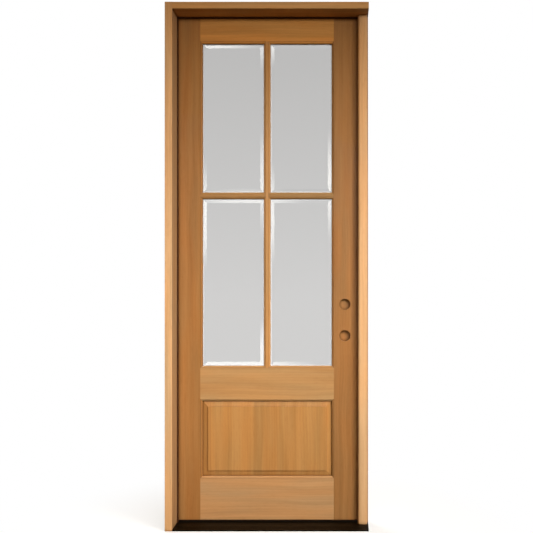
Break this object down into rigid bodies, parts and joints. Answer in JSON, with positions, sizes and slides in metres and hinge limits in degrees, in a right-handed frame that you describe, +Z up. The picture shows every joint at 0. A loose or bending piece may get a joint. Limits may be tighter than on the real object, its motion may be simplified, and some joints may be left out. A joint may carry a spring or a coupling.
{
  "type": "glazed exterior door unit",
  "caption": "Tall timber entry door with bevelled glass panes over a raised panel, swinging inward on butt hinges in a rabbeted frame with a dark sill.",
  "frame": {"origin": "on the sill's underside, at the middle of the unit's width and of the frame's depth", "axes": "+X to the lock side seen from outside, +Y into the building, +Z up"},
  "size_m": [0.9596, 0.1825, 2.489],
  "materials": {
    "frame_wood": "clear satin stain",
    "door_wood": "clear satin stain",
    "panel_wood": "clear satin stain",
    "bevelled_glass": "polished, bevelled edge",
    "sill_metal": "dark bronze",
    "sill_composite": "matt",
    "seal_rubber": "matt foam skin",
    "hinge_steel": "oil-rubbed bronze plate"
  },
  "bodies": {
    "frame": {"hinge_jamb": "frame_wood", "head_jamb": "frame_wood", "strike_post": "frame_wood", "strike_strip": "frame_wood", "sill_base": "sill_composite", "sill_deck": "sill_metal", "sill_cap": "sill_composite", "hinge_side_seal": "seal_rubber", "head_seal": "seal_rubber", "strike_side_seal": "seal_rubber", "hinge_frame_leaf_1": "hinge_steel", "hinge_frame_leaf_2": "hinge_steel", "hinge_frame_leaf_3": "hinge_steel", "hinge_frame_leaf_4": "hinge_steel", "hinge_pin_1": "hinge_steel", "hinge_pin_2": "hinge_steel", "hinge_pin_3": "hinge_steel", "hinge_pin_4": "hinge_steel"},
    "door": {"hinge_stile": "door_wood", "lock_stile": "door_wood", "top_rail": "door_wood", "lock_rail": "door_wood", "bottom_rail": "door_wood", "glazing_bar_upright": "door_wood", "glazing_bar_left": "door_wood", "glazing_bar_right": "door_wood", "glazing_beads_upright": "door_wood", "glazing_beads_level": "door_wood", "raised_panel": "panel_wood", "bottom_sweep": "seal_rubber", "pane_upper_left": "bevelled_glass", "pane_upper_right": "bevelled_glass", "pane_lower_left": "bevelled_glass", "pane_lower_right": "bevelled_glass", "hinge_door_leaf_1": "hinge_steel", "hinge_door_leaf_2": "hinge_steel", "hinge_door_leaf_3": "hinge_steel", "hinge_door_leaf_4": "hinge_steel"}
  },
  "joints": [
    {"name": "door_swing", "type": "hinge", "parent": "frame", "child": "door", "pos_m": [-0.46005, 0.09195, 0], "axis": [0, 0, 1], "range_deg": [0, 170]}
  ]
}
